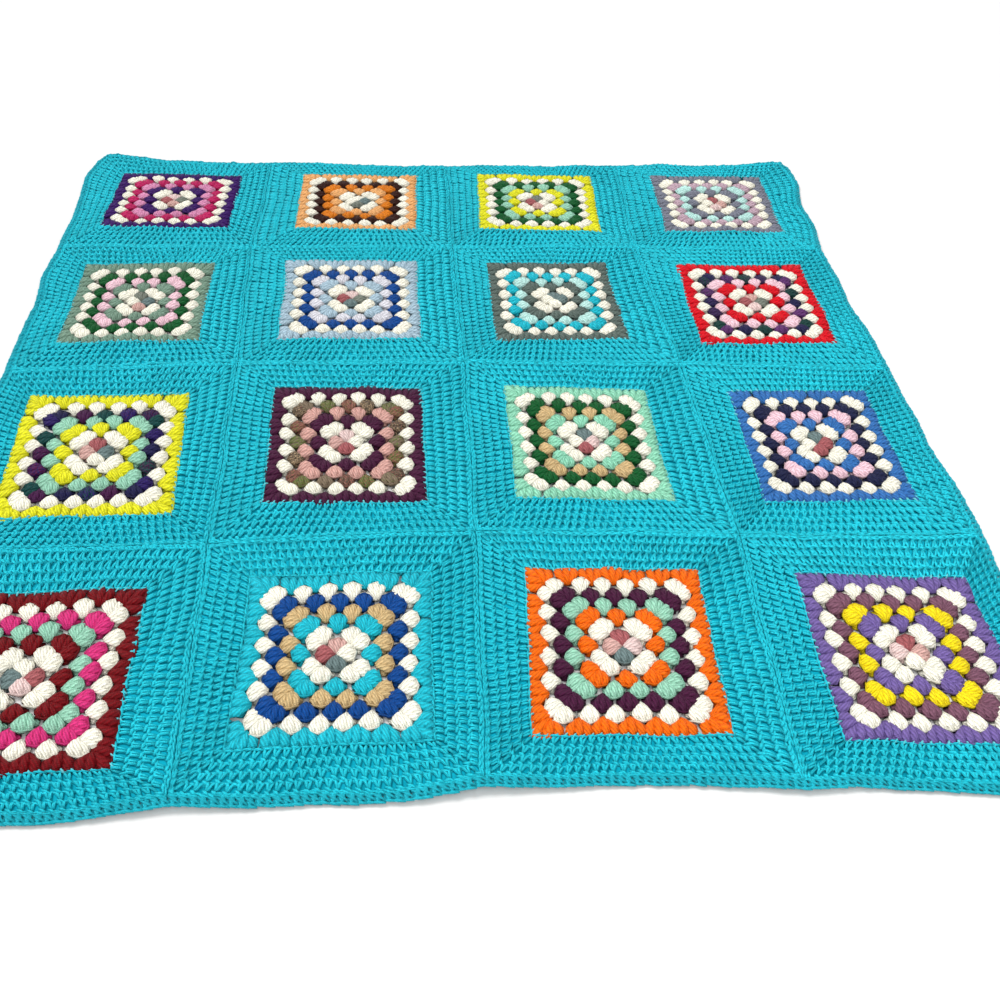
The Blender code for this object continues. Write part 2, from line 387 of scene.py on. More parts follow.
# %% Printed yarn material
def printed_yarn(name, hex_colours, bleeding):
    """Acrylic yarn printed in lengths: each cluster gets one of the shades."""
    material = bpy.data.materials.new(name)
    material.use_nodes = True
    tree = material.node_tree
    loops, fibres, normal = spun_surface(tree)
    length = add_node(tree, "ShaderNodeAttribute", attribute_name="dye")
    drift = add_node(
        tree,
        "ShaderNodeMapRange",
        {"Value": fibres, "To Min": -bleeding / 2, "To Max": bleeding / 2},
    )
    bleed = add_node(
        tree,
        "ShaderNodeMath",
        {0: length.outputs["Fac"], 1: drift.outputs[0]},
        operation="ADD",
    )
    ramp = add_node(tree, "ShaderNodeValToRGB", {"Fac": bleed.outputs[0]})
    ramp.color_ramp.interpolation = "CONSTANT"
    steps = ramp.color_ramp.elements
    for number, hex_colour in enumerate(hex_colours):
        step = steps[number] if number < 2 else steps.new(0.99)
        step.position = number / len(hex_colours)
        step.color = linear(hex_colour)
    steps[0].position = 0.0
    return finish_yarn(
        material, tree, ramp.outputs["Color"], MOTIF_TONES, loops, fibres, normal
    )


# %% [markdown]
# ## The yarn basket
#
# The maker used up ends of many yarns, so there is one material for each, named for
# its dye. One material with the dye in an attribute would be shorter, and then no
# yarn could be found by name or changed alone. The turquoise is the main colour, of
# the surrounds and the edging. That of some motifs is an older, duller dye lot.

# %% The dyes
TURQUOISE = "#24D3E5"
SHADED_EDGING_TURQUOISE = "#1BB4C6"  # the same dye, deeper as painted shade, as the round turns down at its rim
HIGHLIGHTED_TURQUOISE = "#78DEE8"  # drawn thin over a motif's edge; paler as a painted highlight
DYES = {
    "cream": "#EFECDC",
    "old_turquoise": "#18B2C4",
    "indigo": "#35095D",
    "orchid": "#D189AF",
    "magenta": "#B51A5A",
    "peach": "#E3A86B",
    "bright_orange": "#D37712",
    "dark_brown": "#2F0B01",
    "lemon": "#DCDA20",
    "mint": "#92C7AE",
    "bottle_green": "#045425",
    "dusty_violet": "#767987",
    "mauve": "#BA9FAC",
    "sage": "#74917F",
    "baby_pink": "#EAC4CF",
    "baby_blue": "#A2BAC8",
    "shell_pink": "#D5D4DB",
    "royal_blue": "#04438A",
    "slate": "#5A6862",
    "pale_mint": "#B6DFD8",
    "scarlet": "#D00219",
    "dark_plum": "#431234",
    "coral": "#CE9F95",
    "seafoam": "#8ACDAF",
    "camel": "#C8AC7C",
    "cornflower": "#326CAE",
    "navy": "#191E41",
    "maroon": "#6D010B",
    "rose_magenta": "#CC3075",
    "tangerine": "#EA6603",
    "violet": "#6E5B98",
    "mulberry": "#764E60",
    "sunny_yellow": "#ECD415",
    "rose": "#A0595C",
    "pink": "#CBA29A",
    "pale_pink": "#DEC4C0",
    "blue_grey": "#687B7B",
    "green_grey": "#757B71",
}
PRINTS = {
    "berry_print": ("#181742", "#401240", "#0A3F3E", "#261658", "#4C1244"),
    "olive_print": ("#7A6A58", "#5C6B34", "#8A5A4E", "#4E4438", "#9A8468"),
    "night_print": ("#1E1C46", "#5A2E66", "#123A36", "#34204A"),
}

# %% All the yarns
BLEEDING = 0.16  # how far two shades run into one another, as a share of the repeat
MARBLED_BLEEDING = {"olive_print": 0.9}  # so far that each cluster is marbled
YARNS = {name: dyed_yarn(f"acrylic_{name}", value) for name, value in DYES.items()}
YARNS["turquoise"] = dyed_yarn("acrylic_turquoise", TURQUOISE, CLOSE_TONES)
# The paler turquoise of the biting loops is a painted highlight.
YARNS["painted_highlight"] = dyed_yarn(
    "acrylic_turquoise_stretched", HIGHLIGHTED_TURQUOISE, CLOSE_TONES
)
# The edging's deeper turquoise and its low tone are painted shade.
YARNS["edging"] = dyed_yarn("acrylic_turquoise_edging_painted_shade", SHADED_EDGING_TURQUOISE, EDGING_TONES)
for name, shades in PRINTS.items():
    bleeding = MARBLED_BLEEDING.get(name, BLEEDING)
    YARNS[name] = printed_yarn(f"acrylic_{name}", shades, bleeding)
print("yarns:", len(YARNS))

# %% [markdown]
# ## Where each square lies
#
# A blanket joined by hand is never an even grid. Each crossing of seams is pulled a
# few millimetres one way or another, the seams bow, and each motif sits a little
# off the middle of its square. The solids have these crossings and bows too. The
# stitches could be laid on the solids' faces, but a round needs to know how far along
# and how far out it runs, so the plan is written here in millimetres, rows from far
# to near. The motifs' places are a little finer than in the solids.

# %% Plan of the squares
ROWS = COLUMNS = 4
PITCH_X = 265.5
PITCH_Y = 284.2
MIDDLE_X = 13.289  # of the box, from the middle of the even grid
MIDDLE_Y = -7.118
CROSSING_X = (
    (9, -5, 3, 9, 22),
    (9, -11, 1, -4, -4),
    (11, 1, 5, 6, -8),
    (14, 6, 2, 6, -18),
    (16, 12, -6, -12, -18),
)
CROSSING_Y = (
    (-13, -40, -36, -26, -1),
    (-6, -3, 2, 9, 3),
    (0, 14, 15, 11, 0),
    (-6, 1, 13, 1, -9),
    (2, 14, 20, 4, -14),
)
CROSSING_LIFT = (
    (2, 3, 0, 2, 4),
    (2, 0, 0, 0, 3),
    (0, 0, 0, 0, 0),
    (2, 0, 0, 0, 4),
    (0, 4, 5, 3, 2),
)
BOW_ACROSS = ((-7, 3, 0, -5), (3, 1, 1, 0), (0, 0, 0, 0), (1, 1, 0, 0), (-7, -8, 3, 0))
BOW_AWAY = ((-5, 2, 0, 0, 3), (-4, 0, 0, 0, 2), (-2, 0, 0, 0, 5), (-2, 0, 1, 0, 4))
# A motif: shift of its middle, its width and length, how much further away its right
# side lies than its left (tilt) and how far its far side leans right (lean)
MOTIF_SIZES = (
    (
        (-2, -13, 175, 161, -2, 3),
        (-1, -10, 172, 166, 1, 2),
        (2, -5, 178, 174, -3, 8),
        (12, -2, 178, 177, 1, 8),
    ),
    (
        (-2, 2, 164, 179, 6, -3),
        (-3, 11, 174, 184, 0, -4),
        (-3, 9, 166, 184, 1, -2),
        (1, 5, 179, 191, 1, 6),
    ),
    (
        (5, -5, 173, 194, 5, -11),
        (2, 9, 167, 192, -1, -4),
        (-1, 7, 166, 191, -8, 2),
        (0, -1, 168, 191, 0, 6),
    ),
    (
        (5, -12, 175, 189, 5, -4),
        (3, 4, 168, 187, 2, 2),
        (-6, 4, 169, 188, -8, 11),
        (-5, -13, 172, 190, -11, 12),
    ),
)
print("grid in mm:", COLUMNS * PITCH_X, "x", ROWS * PITCH_Y)

# %% [markdown]
# The border of the blanket isn't straight between two crossings either: it swells
# and draws in by a few millimetres, as the edging pulls at it. The solids leave that
# out. Here it is a short list of shifts along each border, four to a square.

# %% The border
# Shifts outwards in mm: the far and near border from the left, the others from the
# far end
BORDER_SHIFTS = {
    "far": (2, 1, 2, 3, -1, 5, 0, -1, 1, 3, 1, 3, -1, 5, 0, -2, -2),
    "right": (3, 9, 0, 8, 2, 4, 0, 5, 6, 1, 0, 7, 7, 2, -2, 3, 0),
    "near": (0, 2, 0, 5, 4, 2, 0, 6, 5, 5, 0, 1, 1, -2, 0, 1, 0),
    "left": (2, 8, 2, 0, 2, 5, -4, -1, 0, 3, -2, 2, 0, 2, -1, 2, 0),
}
QUARTERS = 4
SIDES = ("far", "right", "near", "left")  # clockwise, as all corners and sides


def crossing(row, column):
    """Where seams cross, in mm in the frame."""
    x = (column - COLUMNS / 2) * PITCH_X + CROSSING_X[row][column] - MIDDLE_X
    y = (ROWS / 2 - row) * PITCH_Y + CROSSING_Y[row][column] - MIDDLE_Y
    if column in (0, COLUMNS):
        shift = BORDER_SHIFTS["right" if column else "left"][row * QUARTERS]
        x += shift if column else -shift
    if row in (0, ROWS):
        shift = BORDER_SHIFTS["near" if row else "far"][column * QUARTERS]
        y += -shift if row else shift
    return np.array((x, y))


def border_run(row, column, side):
    """Shifts along one side over the straight line between its crossings."""
    name = SIDES[side]
    on_border = (row == 0, column == COLUMNS - 1, row == ROWS - 1, column == 0)[side]
    if not on_border:
        return np.zeros(QUARTERS + 1)
    first = QUARTERS * (column if name in ("far", "near") else row)
    run = np.array(BORDER_SHIFTS[name][first : first + QUARTERS + 1], float)
    run -= np.linspace(run[0], run[-1], QUARTERS + 1)
    return run[::-1] if name in ("near", "left") else run


ends = crossing(0, 0).round(1), crossing(ROWS, COLUMNS).round(1)
print("far left and near right corner:", *ends)

# %% One square of the plan
Square = namedtuple("Square", "name middle motif edge bows lifts borders")


def square_at(row, column):
    """Corners clockwise from the far left, of the motif and of the seams."""
    shift_x, shift_y, width, height, tilt, lean = MOTIF_SIZES[row][column]
    middle = np.array(
        (
            (column - (COLUMNS - 1) / 2) * PITCH_X + shift_x - MIDDLE_X,
            ((ROWS - 1) / 2 - row) * PITCH_Y + shift_y - MIDDLE_Y,
        )
    )
    motif = []
    for east, north in ((-1, 1), (1, 1), (1, -1), (-1, -1)):
        x, y = east * width + north * lean, north * height + east * tilt
        motif.append(middle + np.array((x, y)) / 2)
    below, right = row + 1, column + 1
    places = ((row, column), (row, right), (below, right), (below, column))
    bows = (
        (0, BOW_ACROSS[row][column]),
        (BOW_AWAY[row][right], 0),
        (0, BOW_ACROSS[below][column]),
        (BOW_AWAY[row][column], 0),
    )
    return Square(
        f"{below}_{right}",
        middle,
        motif,
        [crossing(*place) for place in places],
        np.array(bows, float),
        [CROSSING_LIFT[r][c] for r, c in places],
        [border_run(row, column, side) for side in range(4)],
    )


SQUARES = {(r, c): square_at(r, c) for r in range(ROWS) for c in range(COLUMNS)}
low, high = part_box("square_2_2")
planned = SQUARES[1, 1].edge
print("square 2_2 from the plan:", planned[0].round(1), planned[2].round(1))
print("and in the frame:", [round(v / MM, 1) for v in (*low[:2], *high[:2])])

# %% [markdown]
# ## From a flat pattern to a place on the cloth
#
# A stitch is easiest to model on a straight piece of knitting: x along the round,
# y outwards and z up. Three short functions then carry a point to its place: on the
# seam line, in a surround between motif and seam, and in a motif. They take whole
# arrays, so that a round of stitches is laid in one step.

# %% From pattern to cloth
def blend(first, second, share):
    """Between two points or arrays of points, for an array of shares."""
    share = np.asarray(share)[..., None]
    return first + (second - first) * share


OUTWARDS = np.array(((0, 1), (1, 0), (0, -1), (-1, 0)))  # from each side, far first


def seam_place(square, side, along):
    """On the seam line, for along from 0 to 1 between its two crossings."""
    start, end = square.edge[side], square.edge[(side + 1) % 4]
    bow = 4 * along * (1 - along)
    line = blend(start, end, along) + square.bows[side] * bow[..., None]
    passed = np.clip(along, 0, 1) * QUARTERS
    step = np.minimum(passed.astype(int), QUARTERS - 1)
    share = (1 - np.cos(math.pi * (passed - step))) / 2
    border = square.borders[side]
    shift = blend(border[step, None], border[step + 1, None], share)
    return line + shift * OUTWARDS[side]


def seam_lift(square, side, along):
    """How high the cloth stands there; a crossing's lift fades to mid side."""
    near_start = np.clip(1 - 2 * along, 0, None) ** 2
    near_end = np.clip(2 * along - 1, 0, None) ** 2
    return square.lifts[side] * near_start + square.lifts[(side + 1) % 4] * near_end


def surround_flat(square, side, along, out):
    """In a surround, seen from above: out is 0 at the motif and 1 at the seam."""
    motif_edge = blend(square.motif[side], square.motif[(side + 1) % 4], along)
    return blend(motif_edge, seam_place(square, side, along), out)


def raised(square, side, along, out, flat, height):
    """The flat place at its height, with the lift of the crossings near by."""
    lift = seam_lift(square, side, np.clip(along, 0, 1)) * np.clip(out, 0, 1)
    return np.concatenate([flat, (height + lift)[..., None]], axis=-1)


def surround_place(square, side, along, out, height):
    flat = surround_flat(square, side, along, out)
    return raised(square, side, along, out, flat, height)


# %% [markdown]
# Cloth that lies free is never quite even. Three slow waves shift all of it by about
# a millimetre at most, and the edging draws the blanket's four corners round.

# %% How the cloth settles
# Waves of the cloth: mm from crest to crest along x and y, mm of shift and of lift
WAVES = ((310, 190, 0.5, 0.3), (-120, 150, 0.4, 0.25), (75, -95, 0.35, 0.2))
LOOSE_HEIGHT = 6.0  # yarn as high as this lifts with a wave, and none at the floor
TIP_REACH = 26.0
TIP_DRAW = 9.0  # how far a corner of the blanket is drawn in along the diagonal
EDGING_WIDTH = 7.0


def settled(points):
    """All the cloth as it settles: a little wavy, with its four corners rounded."""
    points = points.copy()
    x, y = points[..., 0].copy(), points[..., 1].copy()
    for number, (across, away, shift, lift) in enumerate(WAVES):
        phase = 2 * math.pi * (x / across + y / away) + number
        points[..., 0] += shift * np.sin(phase)
        points[..., 1] += shift * np.cos(phase)
        loose = np.clip(points[..., 2] / LOOSE_HEIGHT, 0, 1)
        points[..., 2] += lift * (1 + np.sin(phase + 1)) * loose
    for row, column, side in ((0, 0, 0), (0, -1, 1), (-1, -1, 2), (-1, 0, 3)):
        outward = (OUTWARDS[side] + OUTWARDS[side - 1]) / math.sqrt(2)
        square = SQUARES[row % ROWS, column % COLUMNS]
        tip = square.edge[side] + outward * EDGING_WIDTH * math.sqrt(2)
        away = np.hypot(x - tip[0], y - tip[1])
        draw = TIP_DRAW * np.clip(1 - away / TIP_REACH, 0, 1)
        points[..., :2] -= draw[..., None] * outward
    return points


print("waves:", len(WAVES), "corners drawn in by", TIP_DRAW, "mm")

# %% Places in a motif
MOTIF_ROUNDS = 7
MIDDLE_TO_EDGE = MOTIF_ROUNDS + 0.5  # counted in rounds


def motif_place(square, side, along, out, height):
    """In a motif: along counts clusters from mid side, out counts rounds."""
    start, end = square.motif[side], square.motif[(side + 1) % 4]
    one_along = (end - start) / MIDDLE_TO_EDGE
    one_out = ((start + end) / 2 - square.middle) / MIDDLE_TO_EDGE
    flat = square.middle + along[..., None] * one_along + out[..., None] * one_out
    return np.concatenate([flat, height[..., None]], axis=-1)


middle_side = np.zeros(1), np.full(1, MIDDLE_TO_EDGE)
reached = motif_place(SQUARES[1, 1], 0, *middle_side, np.zeros(1))
print("far side of motif 2_2, mid side:", reached.round(1))

# %% [markdown]
# ## A strand
#
# Every form in the blanket is a short strand of yarn, thick here and thin there. By
# hand it is made by extruding: a filled ring is set down, pushed out to the next
# place, and scaled there. Few sides are enough, because smooth shading rounds them,
# and a stitch that is repeated thousands of times has to stay small.

# %% Model a strand
Station = namedtuple("Station", "x y z wide thick")
ALONG_X, ALONG_Y = "X", "Y"


def model_strand(sides, axis, stations):
    """A closed tube through the stations, in mm, with rings across the axis."""
    stations = [Station(*station) for station in stations]
    quarter = math.pi / 2
    turn = (quarter, 0, quarter if axis == ALONG_X else 0)
    clear_selection()
    bpy.ops.mesh.primitive_circle_add(
        vertices=sides, radius=1.0, fill_type="NGON", rotation=turn
    )
    strand = bpy.context.object
    bpy.ops.object.transform_apply(location=False, rotation=True, scale=False)
    bpy.ops.object.mode_set(mode="EDIT")
    bpy.ops.mesh.select_all(action="SELECT")

    def scales(station):
        if axis == ALONG_X:
            return np.array((1.0, station.wide, station.thick))
        return np.array((station.wide, 1.0, station.thick))

    place = np.array(stations[0][:3])
    bpy.ops.transform.resize(value=scales(stations[0]), center_override=(0, 0, 0))
    bpy.ops.transform.translate(value=place)
    for before, station in zip(stations, stations[1:]):
        step = np.array(station[:3]) - np.array(before[:3])
        bpy.ops.mesh.extrude_region_move(TRANSFORM_OT_translate={"value": step})
        bpy.ops.transform.resize(
            value=scales(station) / scales(before), center_override=station[:3]
        )
    bpy.ops.mesh.select_all(action="SELECT")
    bpy.ops.mesh.normals_make_consistent(inside=False)
    bpy.ops.object.mode_set(mode="OBJECT")
    write_yarn_map(strand.data, axis, stations)
    return strand


def write_yarn_map(mesh, axis, stations):
    """UV of a strand: millimetres along it, and once round it from 0 to 1."""
    lengthwise = 0 if axis == ALONG_X else 1
    across = 1 - lengthwise
    course = np.array([station[:3] for station in stations])
    steps = np.linalg.norm(np.diff(course, axis=0), axis=1)
    reached = np.concatenate(([0.0], steps.cumsum()))
    rings = np.arange(len(course))
    layer = mesh.uv_layers.new(name="yarn")
    for face in mesh.polygons:
        spots = np.array([mesh.vertices[v].co for v in face.vertices])
        reach = np.interp(spots[:, lengthwise], course[:, lengthwise], rings)
        centre = [np.interp(reach, rings, course[:, i]) for i in range(3)]
        angle = np.arctan2(spots[:, 2] - centre[2], spots[:, across] - centre[across])
        turn = angle / (2 * math.pi)
        if np.ptp(turn) > 0.5:
            turn = turn % 1.0
        along = np.interp(reach, rings, reached)
        for loop, u, v in zip(face.loop_indices, along, turn):
            layer.data[loop].uv = (u, v)


def join(strands):
    """Several strands as one mesh."""
    clear_selection()
    for strand in strands:
        strand.select_set(True)
    bpy.context.view_layer.objects.active = strands[0]
    if len(strands) > 1:
        bpy.ops.object.join()
    return bpy.context.view_layer.objects.active


# %% [markdown]
# ## The patterns
#
# A plain stitch is four strands. Two legs stand spread over the round before and
# lean together to a narrow neck, so that a dark hole stays open between two necks:
# one to a stitch. On top lie the two loops of the chain that the next round is
# worked into, and they slant, as each link of a chain starts over the one before.
#
# On the left and right sides of the squares the same stitches are pulled straighter:
# their legs stand upright, and their loops run on as a line along the round. One
# form for all sides would be less work, but then the cloth looks knitted by machine.

# %% Pattern of a plain stitch
STITCH_PITCH = 7.8
SIDE_PITCHES = (7.6, 8.3, 7.8, 8.05)  # worked from four directions, by one hand
SIDE_SLANTS = (0.0, 0.26, 0.0, 0.14)  # how much straighter the loops lie there
SIDE_RELIEFS = (1.0, 0.9, 1.0, 0.9)  # how high the stitches stand there
STITCH_HEIGHT = 9.8
# x, y, z, half width, half thickness, from the foot outwards
PLAIN_LEGS = (
    (
        (-3.0, 0.8, 3.0, 1.9, 1.4),
        (-1.5, 4.0, 4.8, 2.1, 1.7),
        (-0.3, 9.0, 4.2, 1.5, 1.4),
    ),
    (
        (3.0, 0.2, 3.0, 1.9, 1.4),
        (1.5, 3.4, 5.0, 2.1, 1.7),
        (0.3, 8.8, 4.4, 1.5, 1.4),
    ),
)
UPRIGHT_LEGS = (
    (
        (-1.9, 0.8, 3.0, 1.7, 1.4),
        (-1.3, 4.0, 4.9, 1.7, 1.7),
        (-0.9, 9.0, 4.3, 1.5, 1.4),
    ),
    (
        (1.9, 0.2, 3.0, 1.7, 1.4),
        (1.3, 3.4, 5.1, 1.7, 1.7),
        (0.9, 8.8, 4.4, 1.5, 1.4),
    ),
)
PLAIN_LOOPS = (
    (
        (-3.4, 13.0, 3.4, 1.5, 1.2),
        (-0.2, 10.9, 5.6, 2.1, 1.8),
        (3.0, 8.8, 3.8, 1.5, 1.2),
    ),
    (
        (-1.8, 13.4, 2.4, 1.6, 1.2),
        (2.0, 12.0, 3.6, 2.1, 1.5),
        (5.8, 10.6, 2.4, 1.6, 1.2),
    ),
)
UPRIGHT_LOOPS = (
    (
        (-3.6, 13.1, 3.5, 1.4, 1.2),
        (-0.2, 10.9, 5.8, 1.9, 1.8),
        (3.4, 8.7, 4.0, 1.4, 1.2),
    ),
    (
        (-2.0, 13.6, 2.4, 1.5, 1.2),
        (2.0, 12.1, 3.9, 1.9, 1.6),
        (6.0, 10.5, 2.4, 1.5, 1.2),
    ),
)

# %% Model the plain stitch
Pattern = namedtuple("Pattern", "points corners starts yarn_map faces")


def read_pattern(piece):
    """The modelled form as arrays, after which the object isn't needed."""
    mesh = piece.data
    points = np.array([vertex.co for vertex in mesh.vertices])
    # An extrusion can list its faces in another order in the next run
    faces = sorted(mesh.polygons, key=lambda face: tuple(face.vertices))
    corners = np.array([v for face in faces for v in face.vertices])
    starts = np.cumsum([0, *(face.loop_total for face in faces[:-1])])
    uv = mesh.uv_layers["yarn"].data
    yarn_map = np.array([uv[loop].uv for face in faces for loop in face.loop_indices])
    pattern = Pattern(points, corners, starts, yarn_map, len(faces))
    bpy.data.objects.remove(piece)
    return pattern


def model_stitch(legs, loops):
    """Two legs and two loops, all with the same faces whatever their places."""
    return read_pattern(
        join(
            [model_strand(3, ALONG_Y, leg) for leg in legs]
            + [model_strand(3, ALONG_X, loop) for loop in loops]
        )
    )


plain_stitch = model_stitch(PLAIN_LEGS, PLAIN_LOOPS)
upright_stitch = model_stitch(UPRIGHT_LEGS, UPRIGHT_LOOPS)
SIDE_STITCHES = (plain_stitch, upright_stitch, plain_stitch, upright_stitch)
print("faces in a plain stitch:", plain_stitch.faces)

# %% [markdown]
# The last round of a square ends in a chain that lies open beside the seam, so both
# of its loops show: two low lines of short links, one beside the other.

# %% Pattern of a chain link
CHAIN_LINK = (
    (
        (-5.0, -0.7, 3.4, 1.1, 1.0),
        (0.0, -1.2, 4.6, 1.5, 1.3),
        (4.8, -1.9, 3.6, 1.1, 1.0),
    ),
    (
        (-5.0, -3.2, 2.8, 1.3, 1.0),
        (0.0, -3.6, 3.9, 1.8, 1.3),
        (5.0, -3.2, 2.8, 1.3, 1.0),
    ),
)
chain_link = read_pattern(join([model_strand(3, ALONG_X, loop) for loop in CHAIN_LINK]))
print("faces in a chain link:", chain_link.faces)

# %% [markdown]
# The first turquoise round is hooked round the chain of the motif, so each of its
# stitches bites over the motif's edge with one small loop, which lies across the
# motif's own yarn as one blunt tooth. A second loop runs along the edge behind it.

# %% Patterns of a biting and a running loop
BITING_LOOP = (
    (-0.5, -2.4, 4.6, 1.1, 0.9),
    (0.0, -0.6, 5.9, 1.4, 1.1),
    (0.5, 2.4, 4.4, 1.5, 1.0),
)
RUNNING_LOOP = (
    (-4.4, 1.4, 4.4, 1.2, 1.0),
    (0.0, 0.8, 5.6, 1.7, 1.1),
    (4.4, 0.2, 4.4, 1.2, 1.0),
)
biting_loop = read_pattern(model_strand(3, ALONG_Y, BITING_LOOP))
running_loop = read_pattern(model_strand(3, ALONG_X, RUNNING_LOOP))
print("faces in a biting and a running loop:", biting_loop.faces, running_loop.faces)

# %% [markdown]
# ## The cluster
#
# A granny motif is made of clusters: three stitches worked into one gap of the round
# before. They share a narrow foot and spread to a rounded shell, with the chain
# along its top. The chain runs on, thin, to the next cluster, and the next round is
# worked over it. The outermost round lies closer, so its clusters are wide enough
# to touch and read as a band with small notches.

# %% Patterns of the clusters
CLUSTER_PITCH = 24.0
CLUSTER_HEIGHT = 12.0
MIDDLE_POST = (
    (0.0, -6.4, 2.2, 1.9, 1.5),
    (0.0, -1.0, 3.9, 3.4, 3.2),
    (0.0, 6.8, 4.2, 4.3, 3.5),
    (0.0, 12.4, 3.0, 3.0, 2.0),
)
SIDE_POST = (
    (1.4, -5.6, 2.1, 2.0, 1.4),
    (3.4, -1.2, 3.2, 3.1, 2.8),
    (5.7, 5.2, 3.8, 4.0, 3.3),
    (5.4, 10.6, 2.8, 3.4, 2.0),
)
TOP_CHAIN = (
    (-12.3, 9.4, 2.2, 0.8, 0.9),
    (-7.0, 10.4, 3.4, 1.2, 1.3),
    (0.0, 12.6, 4.0, 1.5, 1.4),
    (7.0, 10.4, 3.4, 1.2, 1.3),
    (12.3, 9.4, 2.2, 0.8, 0.9),
)
BAND_SIDE_POST = (
    (1.8, -5.8, 2.1, 2.2, 1.3),
    (4.0, -1.4, 3.2, 3.5, 2.4),
    (7.2, 3.0, 3.6, 5.2, 3.0),
    (8.2, 11.6, 2.9, 5.4, 2.5),
)
BAND_CHAIN = (
    (-12.4, 11.4, 3.0, 1.0, 1.2),
    (-6.0, 12.0, 3.6, 1.4, 1.5),
    (0.0, 12.2, 3.8, 1.4, 1.5),
    (6.0, 12.0, 3.6, 1.4, 1.5),
    (12.4, 11.4, 3.0, 1.0, 1.2),
)
BACK_LOOPS = (
    (-11.0, 2.6, 1.2, 3.4, 0.7),
    (-4.0, 1.6, 1.4, 6.4, 1.0),
    (4.0, 1.6, 1.4, 6.4, 1.0),
    (11.0, 2.6, 1.2, 3.4, 0.7),
)
CORNER_POST = (
    (0.0, -2.0, 2.8, 2.4, 2.0),
    (0.0, 6.0, 3.3, 3.8, 2.9),
    (0.0, 13.0, 3.1, 4.2, 2.6),
    (0.0, 16.6, 2.6, 2.4, 1.9),
)


def mirrored(stations):
    """The same strand on the other side."""
    return [(-x, y, z, wide, thick) for x, y, z, wide, thick in stations]


def model_cluster(side_post, chain):
    """Three posts on one foot, the chain on their tops, the loops behind them."""
    posts = [MIDDLE_POST, side_post, mirrored(side_post)]
    strands = [model_strand(5, ALONG_Y, post) for post in posts]
    strands.append(model_strand(3, ALONG_X, chain))
    strands.append(model_strand(4, ALONG_X, BACK_LOOPS))
    return read_pattern(join(strands))


shell_cluster = model_cluster(SIDE_POST, TOP_CHAIN)
band_cluster = model_cluster(BAND_SIDE_POST, BAND_CHAIN)
corner_post = read_pattern(model_strand(5, ALONG_Y, CORNER_POST))
print("faces in a cluster:", shell_cluster.faces, band_cluster.faces)

# %% [markdown]
# ## Copies as one joined piece
#
# A square takes almost nine hundred copies. As objects of their own they would be
# slow and hard to handle, so each kind of copy is laid end to end in arrays and
# becomes one mesh, with its yarn map and, for printed yarn, its dye number.

# %% Join the copies
Copies = namedtuple("Copies", "pattern points material dye")


def joined_piece(name, batches, materials):
    """One mesh from batches of copies; points is (copies, points, 3) in mm."""
    points, corners, starts, maps, slots, dyes = [], [], [], [], [], []
    points_before = corners_before = 0
    for batch in batches:
        pattern = batch.pattern
        count, size = batch.points.shape[:2]
        shift = np.arange(count)[:, None]
        points.append(settled(batch.points.reshape(-1, 3)) * MM)
        loops = len(pattern.corners)
        corners.append((pattern.corners + shift * size + points_before).ravel())
        starts.append((pattern.starts + shift * loops + corners_before).ravel())
        maps.append(np.tile(pattern.yarn_map, (count, 1)))
        slots.append(np.full(count * pattern.faces, batch.material))
        dyes.append(np.repeat(np.broadcast_to(batch.dye, count), size))
        points_before += count * size
        corners_before += count * loops
    mesh = bpy.data.meshes.new(name)
    mesh.vertices.add(points_before)
    mesh.vertices.foreach_set("co", np.concatenate(points).ravel())
    mesh.loops.add(corners_before)
    mesh.loops.foreach_set("vertex_index", np.concatenate(corners))
    mesh.polygons.add(sum(map(len, starts)))
    mesh.polygons.foreach_set("loop_start", np.concatenate(starts))
    mesh.polygons.foreach_set("material_index", np.concatenate(slots))
    mesh.update(calc_edges=True)
    yarn_map = mesh.uv_layers.new(name="yarn")
    yarn_map.uv.foreach_set("vector", np.concatenate(maps).ravel())
    dye = mesh.attributes.new("dye", "FLOAT", "POINT")
    dye.data.foreach_set("value", np.concatenate(dyes).astype(np.float32))
    mesh.shade_smooth()
    for material in materials:
        mesh.materials.append(material)
    piece = bpy.data.objects.new(name, mesh)
    bpy.context.scene.collection.objects.link(piece)
    return piece


# %% [markdown]
# ## The turquoise surrounds
#
# Outside each motif come four tall rounds and a low chain along the seam. The number
# of stitches in a side follows its length, and is even and odd by turns, as each
# stitch stands between two of the round before. A flat round needs extra width at
# each corner. The maker works more stitches into one place there, and they spread.
# So the rows lean outwards towards their ends, which takes up most of that room, and
# one stitch on the diagonal fills the rest. A fan of three would stand out as a ray.
#
# No hand makes two stitches alike, so each gets a small shift, lean and height of
# its own, from a seeded generator so that the blanket comes out the same each time.

# %% Sides and corners of a round
PLAIN_ROUNDS = (10.1, 10.1, 10.1, 10.1)
SEAM_STRIP = 4.8
FAN_STITCHES = 1
FAN_FOOT = 0.3  # how far inside its corner a fan starts, in heights of its round
FAN_SHARE = 0.4  # of the room that a square turn leaves at a corner
ROUNDED_CORNER = 0.94
SURROUND_WIDTH = sum(PLAIN_ROUNDS) + SEAM_STRIP
Course = namedtuple("Course", "start end")  # as shares of the way to the seam


def corner_shares(square, side, course):
    """What share of a round's outer line its two corners take."""
    ends = np.array((0.0, 1.0))
    inner = surround_flat(square, side, ends, np.full(2, course.start))
    outer = surround_flat(square, side, ends, np.full(2, course.end))
    line = outer[1] - outer[0]
    length = line @ line
    first, last = (inner[0] - outer[0]) @ line, (outer[1] - inner[1]) @ line
    return FAN_SHARE * first / length, FAN_SHARE * last / length


def on_side(square, side, course, along, across, height):
    """In the straight part of a round; across is 0 at its foot, 1 at its chain."""
    first, last = corner_shares(square, side, course)
    outer_along = first + along * (1 - first - last)
    start, end = np.full_like(along, course.start), np.full_like(along, course.end)
    inner = surround_flat(square, side, along, start)
    outer = surround_flat(square, side, outer_along, end)
    out = course.start + across * (course.end - course.start)
    return raised(square, side, outer_along, out, blend(inner, outer, across), height)


